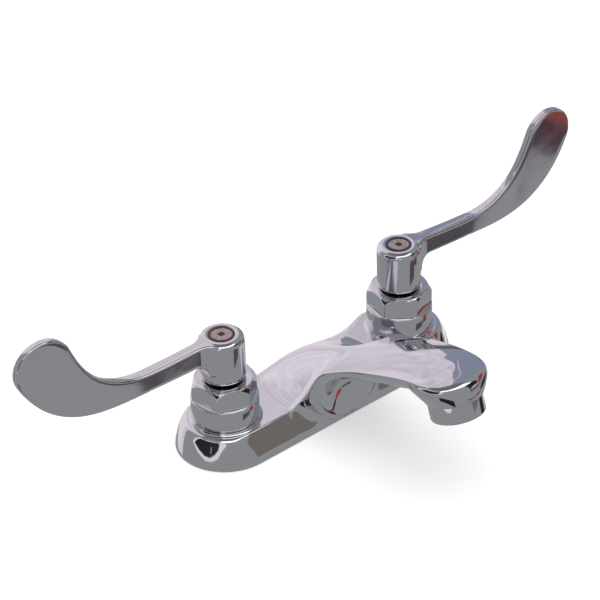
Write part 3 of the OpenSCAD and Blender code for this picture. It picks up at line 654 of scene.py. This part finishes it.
def bonnet_nut(side, around=240):
    top_r = FLATS / 2 + 0.1
    slope = CHAMFER_DEEP / (NUT_TOP - SHOULDER_Z + 1)
    corners = [hexagon(FLATS, 360 * j / around) for j in range(around)]

    def chamfer(h):
        """Height at which the cone of the chamfer meets the hexagon where its radius is h."""
        return NUT_TOP - (h - top_r) / slope - 0.1

    skirt = [(13.4, NUT_FOOT), (13.75, NUT_FOOT)] + arc(SKIRT_R - 1.2, NUT_FOOT + 1.2, 1.2, -80, 0, 7)
    skirt += [(SKIRT_R, 20.0)] + arc(SKIRT_R - 0.45, SHOULDER_Z - 0.45, 0.45, 0, 90, 4)
    rows = [[p] * around for p in skirt]
    rows += [[(h + f, SHOULDER_Z + (0.16 - f) * 0.9) for h in corners] for f in (0.16, 0.05, 0.0)]
    rows += [[(h, mix(SHOULDER_Z + 0.2, chamfer(h), t)) for h in corners] for t in (0.12, 0.5, 0.88)]
    # the chamfer is rounded where it meets the flats and the top
    rows += [[(h - 0.12 * t * t, chamfer(h) + 0.26 * t) for h in corners] for t in (0.0, 0.35, 0.7, 1.0)]
    rows += [[(mix(h - 0.12, top_r, t), NUT_TOP + (h - top_r) / slope * (t - 1) * 0.985) for h in corners]
             for t in (0.3, 0.65, 0.92)]
    roof = arc(top_r - 0.35, NUT_TOP - 0.35, 0.35, 40, 90, 4) + [(STEM_HOLE + 0.4, NUT_TOP)]
    roof += arc(STEM_HOLE + 0.25, NUT_TOP - 0.25, 0.25, 90, 180, 3)
    roof += [(STEM_HOLE, ROOF_Z), (SKIRT_BORE, ROOF_Z), (SKIRT_BORE, NUT_FOOT)]
    rows += [[p] * around for p in roof]
    nut = spun(side.capitalize() + "_bonnet_nut_plated", rows, math.radians(NUT_TURN[side]))
    shift(nut, -VALVE_X if side == "hot" else VALVE_X)
    nut.data.materials.append(CHROME)
    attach(nut, "fixed_faucet")
    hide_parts(side + "_bonnet_nut")


for side in ("hot", "cold"):
    bonnet_nut(side)

# Wrist-blade handles
# Each handle is one forged and plated piece: a hub over the valve stem, a level
# arm, and a flat paddle that curves upward and bows back. All edges are rounded.
HUB_R = 9.8
HUB_BOTTOM = HANDLE_TOP - 20.9
HUB_HOLLOW, STEM_BORE, SCREW_BORE, SCREW_SEAT, RING_SEAT = 7.6, 4.2, 3.0, 4.66, 5.73
ARM_Z = HANDLE_TOP - 4.9
ARM_END = 39.3
ARM_HALF = 3.0
ARM_DROP = 4.7
PADDLE_R = 13.1
PADDLE_HALF = 1.95
EDGE_R = 1.0
PLAN_FILLET = 9.0
UNDER_FILLET = 6.5
CLOSED_TURN = {"hot": -2.0, "cold": 4.0}


# Along the handle, u is the distance outwards from the valve's axis
def plan_fillet(u):
    c = math.sqrt((HUB_R + PLAN_FILLET) ** 2 - (ARM_HALF + PLAN_FILLET) ** 2)
    d = min(PLAN_FILLET, max(0, c - u))
    return PLAN_FILLET - math.sqrt(PLAN_FILLET ** 2 - d * d)


def under_fillet(u):
    d = min(UNDER_FILLET, max(0, HUB_R + UNDER_FILLET - u))
    return UNDER_FILLET - math.sqrt(UNDER_FILLET ** 2 - d * d)


def arm_station(u):
    """Centre, direction, and reach up and down of the arm at u."""
    low = ARM_Z - ARM_DROP - 0.25 * u / ARM_END
    high = HANDLE_TOP - 1.0 * ease(u / ARM_END)
    return np.array([u, ARM_Z]), np.array([1.0, 0]), high - ARM_Z, ARM_Z - low + under_fillet(u)


BLADE = [(ARM_END, -0.24), (55.2, -0.4), (75.8, -0.4), (87.4, 27.4)]
BLADE = [np.array([u, ARM_Z + z]) for u, z in BLADE]


def blade_station(t):
    a, b, c, d = BLADE
    v = bezier(b - a, mix(b, c, 0.5) - mix(a, b, 0.5), mix(c, d, 0.5) - mix(b, c, 0.5), d - c, t)
    w = mix(4.11, PADDLE_R, ease(t / 1.05))
    return bezier(a, b, c, d, t), v / np.linalg.norm(v), w, w + (ARM_DROP - 3.86) * (1 - ease(t / 0.9))


def bow(u, z):
    """How far back the blade stands off a flat plane."""
    s = max(0, (u - 25) / 80)
    return 0.4 * s + 3 * s * s - 0.03 * (z - ARM_Z - 15) * ease((u - 35) / 30)


def half_thick(u):
    return mix(ARM_HALF, PADDLE_HALF, ease((u - 30) / 40)) + plan_fillet(u)


def handle_blade():
    """Closed shell of arm and paddle in its own plane, +X outwards along the arm."""
    us = [start + step * i for start, step, count in ((7.3, 0.25, 12), (10.3, 0.5, 16), (18.5, 1.3, 16))
          for i in range(count)]
    stations = [arm_station(u) for u in us] + [arm_station(ARM_END)]
    stations += [blade_station(i / 56) for i in range(1, 57)]
    cap = [math.pi * i / 80 for i in range(1, 80)]

    def outline(inset):
        high = [c + (up - inset) * np.array([-d[1], d[0]]) for c, d, up, down in stations]
        low = [c - (down - inset) * np.array([-d[1], d[0]]) for c, d, up, down in stations]
        c, d, w = stations[-1][:3]
        n = np.array([-d[1], d[0]])
        tip = [c + (w - inset) * (math.sin(a) * d + math.cos(a) * n) for a in cap]
        return high + tip + low[::-1]

    def round_r(u):
        return mix(EDGE_R, 0.95, ease((u - 45) / 20))

    # the edge is rounded by eight steps on each side
    base, pulled, steps = outline(0), outline(1), 8
    loops = []
    for side in (-1, 1):
        for k in range(steps + 1):
            a = math.radians(90 * (k if side < 0 else steps - k) / steps)
            loop = []
            for p, q in zip(base, pulled):
                r = round_r(p[0])
                m = p + (q - p) * r * (1 - math.sin(a))
                loop.append((m[0], bow(*m) + side * (half_thick(p[0]) - r * (1 - math.cos(a))), m[1]))
            loops.append(loop)
    count = len(loops[0])
    pts = [p for loop in loops for p in loop]
    faces = grid_faces(len(loops), count)
    # the two broad faces, as strips from the top outline to the bottom one
    half, across = (count - 1) // 2, 10
    for side, loop_no in ((-1, 0), (1, len(loops) - 1)):
        first = len(pts)
        for i in range(half + 1):
            a, b = np.array(loops[loop_no][i]), np.array(loops[loop_no][count - 1 - i])
            for k in range(across + 1):
                p = mix(a, b, k / across)
                y = bow(p[0], p[2]) + side * half_thick(p[0]) if 0 < k < across else p[1]
                pts.append((p[0], y, p[2]))
        faces += grid_faces(half + 1, across + 1, first, closed=False)
    return pts, faces


def handle_hub():
    """Round hub with soft rims, hollow below over the stem, and with a seat for ring and screw on top."""
    ring_z, head_z, shaft_z, roof = HANDLE_TOP - 1.5, HANDLE_TOP - 2.5, HANDLE_TOP - 7, HUB_BOTTOM + 3
    return ([(RING_SEAT, ring_z), (RING_SEAT, HANDLE_TOP - 0.12), (RING_SEAT + 0.12, HANDLE_TOP)]
            + arc(HUB_R - 2.7, HANDLE_TOP - 2.7, 2.7, 90, 0, 14)
            + arc(HUB_R - 1.3, HUB_BOTTOM + 1.3, 1.3, 0, -90, 9)
            + [(HUB_HOLLOW + 0.2, HUB_BOTTOM), (HUB_HOLLOW, HUB_BOTTOM + 0.2), (HUB_HOLLOW, roof),
               (STEM_BORE, roof), (STEM_BORE, shaft_z), (SCREW_BORE, shaft_z), (SCREW_BORE, head_z),
               (SCREW_SEAT, head_z), (SCREW_SEAT, ring_z)])


def place_on_valve(obj, side):
    """Turns a piece drawn along +X into its closed place on its valve; the hot one is a mirror image."""
    turn = math.radians(CLOSED_TURN[side])
    if side == "hot":
        obj.data.transform(Matrix.Rotation(turn, 4, "Z") @ Matrix.Scale(-1, 4, (1, 0, 0)))
        obj.data.flip_normals()
        shift(obj, -VALVE_X)
    else:
        obj.data.transform(Matrix.Rotation(-turn, 4, "Z"))
        shift(obj, VALVE_X)


for side in ("hot", "cold"):
    blade = new_piece("blade", *handle_blade())
    hub = turned("hub", handle_hub(), 192)
    handle = join(side.capitalize() + "_wrist_blade_handle", [blade, hub])
    place_on_valve(handle, side)
    handle.data.materials.append(CHROME)
    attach(handle, side + "_valve_turning")
    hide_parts(side + "_handle")

# Screws and index rings
# A flat screw with a hexagon socket holds each handle on its stem. The plastic ring
# round its head shows red for hot and blue for cold.


def turned_steel():
    """Stainless steel faced on a lathe: warm beige-grey and satin, with darker specks 1 mm across that
    lie a little lower, as handling leaves them."""
    mat, tree, shader = new_material("faced_stainless_screw", "#C9BDB5", 1.0, 0.42)
    where = node(tree, "ShaderNodeTexCoord").outputs["Object"]
    specks = node(tree, "ShaderNodeTexNoise", {"Vector": where}, Scale=900.0, Detail=4.0)
    tint = node(tree, "ShaderNodeValToRGB", {"Fac": specks.outputs["Fac"]})
    shade_between(tint, "#A0958E", "#CDC2BB", 0.3, 0.6)
    bump = node(tree, "ShaderNodeBump", {"Height": specks.outputs["Fac"]}, Strength=0.2, Distance=0.0001)
    link(tree, shader, {"Base Color": tint.outputs["Color"], "Normal": bump.outputs["Normal"]})
    return mat


def index_plastic(name, base, dark):
    """Moulded gloss plastic, coloured through, with a slow change of shade and a few dull scuffs."""
    mat, tree, shader = new_material(name, base, 0.0, 0.28)
    where = node(tree, "ShaderNodeTexCoord").outputs["Object"]
    shade = node(tree, "ShaderNodeTexNoise", {"Vector": where}, Scale=500.0, Detail=3.0)
    tint = node(tree, "ShaderNodeValToRGB", {"Fac": shade.outputs["Fac"]})
    shade_between(tint, dark, base)
    rough = node(tree, "ShaderNodeMapRange", {"Value": shade.outputs["Fac"]},
                 From_Min=0.4, From_Max=0.75, To_Min=0.2, To_Max=0.45)
    link(tree, shader, {"Base Color": tint.outputs["Color"], "Roughness": rough.outputs["Result"]})
    return mat


SCREW = turned_steel()
finish_node("hot_handle_screw", SCREW)
finish_node("cold_handle_screw", SCREW)
finish_node("hot_index_ring", index_plastic("moulded_dark_red_abs", "#561E2A", "#4E1A24"))
finish_node("cold_index_ring", index_plastic("moulded_dark_blue_abs", "#1E2242", "#171B36"))

# Aerator
# A plated brass sleeve screws into the rim of the spout's head. It holds a rubber
# washer, a flow disc, a plastic insert that mixes air in, and a woven steel screen.
AERATOR_R = 11.8
AERATOR_DROP = 8.1
AERATOR_TOP, THREAD_R, SHELL_BORE, LIP_BORE = 3.98, 10.37, 9.0, 8.3
SCREEN_SEAT = -AERATOR_DROP + 1.1
SCREEN_R, WIRE_R, WIRES = 8.45, 0.16, 19


def at_outlet(obj):
    obj.data.transform(Matrix.Translation(Vector(OUTLET * MM)) @ Matrix.Rotation(-OUTLET_TILT, 4, "X"))


sleeve = turned("Aerator_sleeve_plated", arc(AERATOR_R - 0.9, -AERATOR_DROP + 0.9, 0.9, -90, 0, 8)
                + arc(AERATOR_R - 0.25, -0.27, 0.25, 0, 90, 4)
                + [(THREAD_R, -0.02), (THREAD_R, AERATOR_TOP), (SHELL_BORE, AERATOR_TOP),
                   (SHELL_BORE, SCREEN_SEAT), (LIP_BORE, SCREEN_SEAT)]
                + arc(LIP_BORE + 0.3, -AERATOR_DROP + 0.3, 0.3, 180, 270, 4), 192)
at_outlet(sleeve)
sleeve.data.materials.append(CHROME)
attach(sleeve, "fixed_faucet")
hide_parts("aerator_housing")


def moulded(name, base, dark):
    """Moulded plastic, matt: the shade drifts slowly, with a fine spark-eroded grain about 0.4 mm across."""
    mat, tree, shader = new_material(name, base, 0.0, 0.45)
    where = node(tree, "ShaderNodeTexCoord").outputs["Object"]
    shade = node(tree, "ShaderNodeTexNoise", {"Vector": where}, Scale=250.0, Detail=2.0)
    tint = node(tree, "ShaderNodeValToRGB", {"Fac": shade.outputs["Fac"]})
    shade_between(tint, dark, base)
    grain = node(tree, "ShaderNodeTexNoise", {"Vector": where}, Scale=2500.0, Detail=1.0)
    bump = node(tree, "ShaderNodeBump", {"Height": grain.outputs["Fac"]}, Strength=0.2, Distance=0.0001)
    link(tree, shader, {"Base Color": tint.outputs["Color"], "Normal": bump.outputs["Normal"]})
    return mat


finish_node("aerator_washer", RUBBER)
finish_node("flow_restrictor", moulded("moulded_green_acetal", "#2E7A58", "#276A4C"))
finish_node("aerator_insert", moulded("moulded_white_acetal", "#E6E5E0", "#D8D7D1"))


def screen_tree():
    """Geometry Nodes: crossed wires cut to a round, from its radius and the wires' number and thickness."""
    tree, given = new_tree("wire_screen", Radius="Float", Wires="Int", Thickness="Float", Weave="Float")
    wide = node(tree, "ShaderNodeMath", {0: given["Radius"]}, operation="MULTIPLY")
    wide.inputs[1].default_value = 2.0
    net = node(tree, "GeometryNodeMeshGrid", {"Size X": wide.outputs[0], "Size Y": wide.outputs[0],
                                              "Vertices X": given["Wires"], "Vertices Y": given["Wires"]})
    place = node(tree, "GeometryNodeInputPosition")
    reach = node(tree, "ShaderNodeVectorMath", {0: place.outputs[0]}, operation="LENGTH")
    outside = node(tree, "FunctionNodeCompare", {0: reach.outputs["Value"], 1: given["Radius"]},
                   data_type="FLOAT", operation="GREATER_THAN")
    cut = node(tree, "GeometryNodeDeleteGeometry", {"Geometry": net.outputs["Mesh"],
                                                    "Selection": outside.outputs[0]}, domain="POINT")
    number = node(tree, "GeometryNodeInputIndex")
    odd = node(tree, "ShaderNodeMath", {0: number.outputs[0]}, operation="MODULO")
    odd.inputs[1].default_value = 2.0
    rise = node(tree, "ShaderNodeMath", {0: odd.outputs[0], 1: given["Weave"]}, operation="MULTIPLY")
    lift = node(tree, "ShaderNodeCombineXYZ", {"Z": rise.outputs[0]})
    woven = node(tree, "GeometryNodeSetPosition", {"Geometry": cut.outputs[0], "Offset": lift.outputs[0]})
    lines = node(tree, "GeometryNodeMeshToCurve", {"Mesh": woven.outputs[0]})
    section = node(tree, "GeometryNodeCurvePrimitiveCircle", {"Radius": given["Thickness"]}, Resolution=6)
    wires = node(tree, "GeometryNodeCurveToMesh", {"Curve": lines.outputs["Curve"],
                                                   "Profile Curve": section.outputs["Curve"]})
    return end_tree(tree, given, wires.outputs["Mesh"])


def drawn_wire():
    """Drawn stainless wire: bright grey, a little dulled by pale lime in patches of 2 mm."""
    mat, tree, shader = new_material("drawn_stainless_wire", "#C4C2BE", 1.0, 0.3)
    where = node(tree, "ShaderNodeTexCoord").outputs["Object"]
    lime = node(tree, "ShaderNodeTexNoise", {"Vector": where}, Scale=500.0, Detail=3.0)
    tint = node(tree, "ShaderNodeValToRGB", {"Fac": lime.outputs["Fac"]})
    shade_between(tint, "#C4C2BE", "#D6D3CB", 0.4, 0.7)
    rough = node(tree, "ShaderNodeMapRange", {"Value": lime.outputs["Fac"]},
                 From_Min=0.4, From_Max=0.7, To_Min=0.25, To_Max=0.5)
    link(tree, shader, {"Base Color": tint.outputs["Color"], "Roughness": rough.outputs["Result"]})
    return mat


hoop = [(8.2, -0.6), (8.5, -0.6), (8.95, -0.35), (8.95, 0.35), (8.5, 0.6), (8.2, 0.6)]
screen = run_tree(turned("hoop", hoop, 96), screen_tree(), "Aerator_wire_screen", Metal=drawn_wire(),
                  Radius=SCREEN_R * MM, Wires=WIRES, Thickness=WIRE_R * MM, Weave=WIRE_R * MM)
screen.data.shade_smooth()
shift(screen, z=SCREEN_SEAT + 0.62)
at_outlet(screen)
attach(screen, "fixed_faucet")
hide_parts("aerator_screen")

# Floor, light and camera
# A white sweep under soft studio light, seen from the photograph's angle. Plated
# brass shows only what stands round it, so grey, dark and white cards stand
# outside the picture, as a studio sets them for chrome.
AMBIENT = 0.55
WHITE = linear("#FFFFFF")
world = bpy.data.worlds.new("white_studio")
bpy.context.scene.world = world
world.use_nodes = True
sky = world.node_tree
rays = node(sky, "ShaderNodeLightPath").outputs
seen = node(sky, "ShaderNodeMath", {0: rays["Is Camera Ray"], 1: rays["Is Glossy Ray"]}, operation="ADD")
seen = node(sky, "ShaderNodeMath", {0: seen.outputs[0], 1: rays["Is Transmission Ray"]},
            operation="ADD", use_clamp=True)
dim = sky.nodes["Background"]
dim.inputs["Color"].default_value = WHITE
dim.inputs["Strength"].default_value = AMBIENT
bright = node(sky, "ShaderNodeBackground", Color=WHITE, Strength=1.0)
both = node(sky, "ShaderNodeMixShader", {0: seen.outputs[0], 1: dim.outputs[0], 2: bright.outputs[0]})
sky.links.new(both.outputs[0], sky.nodes["World Output"].inputs["Surface"])


def glow(name, colour, strength=1.0, mottle=0.0):
    """Evenly lit card, with soft light and dark drifts where mottle is given; it fades out at its border."""
    mat = bpy.data.materials.new(name)
    mat.use_nodes = True
    tree = mat.node_tree
    tree.nodes.clear()
    light = node(tree, "ShaderNodeEmission", Color=linear(colour), Strength=strength)
    if mottle:
        where = node(tree, "ShaderNodeTexCoord").outputs["Object"]
        drift = node(tree, "ShaderNodeTexNoise", {"Vector": where}, Scale=1.2, Detail=4.0, Distortion=1.5)
        drift = node(tree, "ShaderNodeMapRange", {"Value": drift.outputs["Fac"]},
                     From_Min=0.3, From_Max=0.7, To_Min=1 - mottle, To_Max=1 + mottle)
        tree.links.new(drift.outputs["Result"], light.inputs["Strength"])
    clear = node(tree, "ShaderNodeBsdfTransparent")
    edge = node(tree, "ShaderNodeAttribute", attribute_name="solid")
    both = node(tree, "ShaderNodeMixShader",
                {0: edge.outputs["Fac"], 1: clear.outputs[0], 2: light.outputs[0]})
    node(tree, "ShaderNodeOutputMaterial", {"Surface": both.outputs[0]})
    return mat


def card(name, corners, colour, strength=1.0, away=4.0, soft=0.15, centre=(0, 0, 0), mottle=0.0):
    """A card on a sphere, away metres from the centre (mm). Its corners are (azimuth from the front,
    elevation) in degrees, and its border fades over the share soft of its size."""
    bm = bmesh.new()
    solid = bm.verts.layers.float.new("solid")
    middle = np.mean(np.array(corners, float), axis=0)
    outer = [bm.verts.new((a, e, 0)) for a, e in corners]
    inner = [bm.verts.new((mix(a, middle[0], soft), mix(e, middle[1], soft), 0)) for a, e in corners]
    for v in inner:
        v[solid] = 1.0
    n = len(corners)
    for i in range(n):
        bm.faces.new([outer[i], outer[(i + 1) % n], inner[(i + 1) % n], inner[i]])
    bm.faces.new(inner)
    bmesh.ops.triangulate(bm, faces=bm.faces)
    bmesh.ops.subdivide_edges(bm, edges=bm.edges, cuts=9, use_grid_fill=True)
    for v in bm.verts:
        a, e = math.radians(v.co.x), math.radians(v.co.y)
        out = Vector((math.sin(a) * math.cos(e), -math.cos(a) * math.cos(e), math.sin(e)))
        v.co = out * away + Vector(centre) * MM
    mesh = bpy.data.meshes.new("card_" + name)
    bm.to_mesh(mesh)
    bm.free()
    obj = add_object("card_" + name, mesh)
    mesh.materials.append(glow("studio_card_" + name, colour, strength, mottle))
    obj.visible_camera = obj.visible_diffuse = obj.visible_shadow = obj.visible_transmission = False


def rect(a0, a1, e0, e1):
    return [(a0, e0), (a1, e0), (a1, e1), (a0, e1)]


# The room: plain grey walls and ceiling, a pale wall with a window behind, and a grey table
for i, (a0, a1) in enumerate([(-150, -80), (-80, 0), (0, 67), (67, 134)]):
    card("grey_room_%d" % i, rect(a0, a1, -89, 62), "#9B9D9E", away=5.0, soft=0.001)
for i in range(4):
    card("ceiling_%d" % i, rect(-180 + 90 * i, -90 + 90 * i, 60, 89.9), "#74767C", away=5.1, soft=0.001)
card("lilac_wall", rect(134, 210, -30, 60), "#E4DCE4", away=5.05, soft=0.001, mottle=0.16)
card("window_behind", rect(157, 202, -32, 46), "#F6EEF6", away=4.9, soft=0.3, mottle=0.1)
card("grey_table_behind", rect(130, 212, -89, -28), "#9C9EA0", away=4.85, soft=0.03)

# A blue-grey side, and two cards half a metre from the spout's head
HEAD_CENTRE = (0, -88, 53)
BLUE_GREY = "#9199AA"
card("blue_grey_side", [(110, -14), (126, -14), (127, 52), (110, 58)], BLUE_GREY, away=4.8, soft=0.05)
card("blue_grey_near", [(134, -14), (140, 0), (139, 9), (141, 15), (137, 25), (136, 34), (138, 42), (137, 52),
                        (110, 58), (110, -14)], BLUE_GREY, away=0.5, soft=0.05, centre=HEAD_CENTRE)
card("pale_streak", [(136, 12), (133, 33), (128, 47), (133, 56), (129.5, 47), (134.5, 33)], "#C9C6D4",
     away=0.49, soft=0.2, centre=HEAD_CENTRE)

# White, dark and brown boards and a lamp round the front
card("lamp_front", rect(-60, 52, 40, 60), "#FFFFFF", 1.8, away=4.7, soft=0.12)
card("white_left", [(-118, 38), (-123, 1), (-106, -9), (-86, -13), (-72, -12), (-60, -8), (-50, 4), (-40, 22),
                    (-42, 36), (-90, 39)], "#F2F0F6", away=4.5, soft=0.04)
card("dark_left", [(-118, 2), (-112, 34), (-60, 36), (-56, 24), (-58, 6), (-66, -4), (-77, -9), (-89, -9),
                   (-104, -5)], "#2C2A31", away=4.2, soft=0.06)
card("pale_stand_left", rect(-77, -73, -3, 12), "#807E86")
card("brown_front", [(25, -7), (60, -7), (50, 4), (40, 8), (31, 10), (29, 13), (25, 13)], "#7C7571",
     away=4.1, soft=0.06)
card("white_front", rect(32, 44, 9, 17), "#F6F2F6", away=4.35, soft=0.2)
card("dark_front", [(25, 12), (52, 14), (54, 39), (27, 39)], "#26282E", away=4.3, soft=0.08)
card("white_right_low", rect(96, 126, -29, -16), "#FFFFFF", away=4.2, soft=0.2)
card("arm_front", [(18, -36.4), (24, -36), (46, -34), (46, -30), (18, -30)], "#565257", away=4.1, soft=0.05)
card("dark_low_left", [(-65, -64), (-20, -62), (-20, -43), (-60, -43)], "#20242A", away=4.1, soft=0.05)
card("dark_low_right", [(58, -21), (84, -22), (84, -9), (62, -9)], "#2C3034", away=4.1, soft=0.05)
card("dark_right", [(60, -27), (84, -27), (90, -10), (88, -4), (64, -8)], "#24282E", away=4.15, soft=0.05)

# Red things at the right, which show in the head's side and the cold paddle's tip
BRICK_RED = "#A2493C"
card("red_side", [(51, 1), (62, 4), (75, 16), (80, 32), (67, 34), (57, 24), (51, 12)], BRICK_RED, away=4.05)
card("tip_red", rect(46, 64, -30.6, -25), BRICK_RED, away=4.2, soft=0.02)
card("tip_maroon", rect(45, 64, -31.6, -30.6), "#4A3A42", away=4.2, soft=0.02)

FLOOR_HALF, FLOOR_Z = 4.0, -0.2 * MM
PAPER_LIFT = 0.42
floor = bpy.data.meshes.new("floor")
corners = [(x * FLOOR_HALF, y * FLOOR_HALF, FLOOR_Z) for x, y in ((-1, -1), (1, -1), (1, 1), (-1, 1))]
floor.from_pydata(corners, [], [(0, 1, 2, 3)])
floor = add_object("floor", floor)
# The paper glows a little for the camera alone, so that it renders white and keeps the shadow
mat, tree, shader = new_material("white_sweep_paper", "#EDEDED", 0.0, 0.95)
path = node(tree, "ShaderNodeLightPath")
lift = node(tree, "ShaderNodeMath", {0: path.outputs["Is Camera Ray"]}, operation="MULTIPLY")
lift.inputs[1].default_value = PAPER_LIFT
shader.inputs["Emission Color"].default_value = WHITE
tree.links.new(lift.outputs[0], shader.inputs["Emission Strength"])
floor.data.materials.append(mat)
floor.visible_glossy = False

lamp = bpy.data.lights.new("softbox", "AREA")
lamp.shape = "RECTANGLE"
lamp.size = lamp.size_y = 1.6
lamp.energy = 12
lamp = add_object("softbox", lamp)
lamp.matrix_world = Matrix.Translation((-0.1, -0.2, 1.7))
lamp.visible_glossy = False

# The camera: its direction, how far the part's origin lies right of, below and before it, and its
# focal length in pixels of a picture 600 wide
AZIMUTH, ELEVATION, ROLL = math.radians(-39.8), math.radians(34.02), math.radians(-1.963)
ORIGIN_SEEN = np.array([6.814, 41.473, 1154.176])
FOCAL, PICTURE_WIDTH, SENSOR = 2600.0, 600, 36
back = np.array([math.sin(AZIMUTH) * math.cos(ELEVATION), -math.cos(AZIMUTH) * math.cos(ELEVATION),
                 math.sin(ELEVATION)])
right = np.array([math.cos(AZIMUTH), math.sin(AZIMUTH), 0])
up = np.cross(right, -back)
right, up = (math.cos(ROLL) * right + math.sin(ROLL) * up, -math.sin(ROLL) * right + math.cos(ROLL) * up)
turn = np.array([right, -up, -back])
spot = -turn.T @ ORIGIN_SEEN * MM
camera = add_object("camera", bpy.data.cameras.new("camera"))
camera.matrix_world = Matrix([[right[i], up[i], back[i], spot[i]] for i in range(3)] + [[0, 0, 0, 1]])
camera.data.sensor_fit = "HORIZONTAL"
camera.data.sensor_width = SENSOR
camera.data.lens = FOCAL / PICTURE_WIDTH * SENSOR
camera.data.clip_start = 0.01
bpy.context.scene.camera = camera
bpy.context.scene.view_settings.view_transform = "Standard"
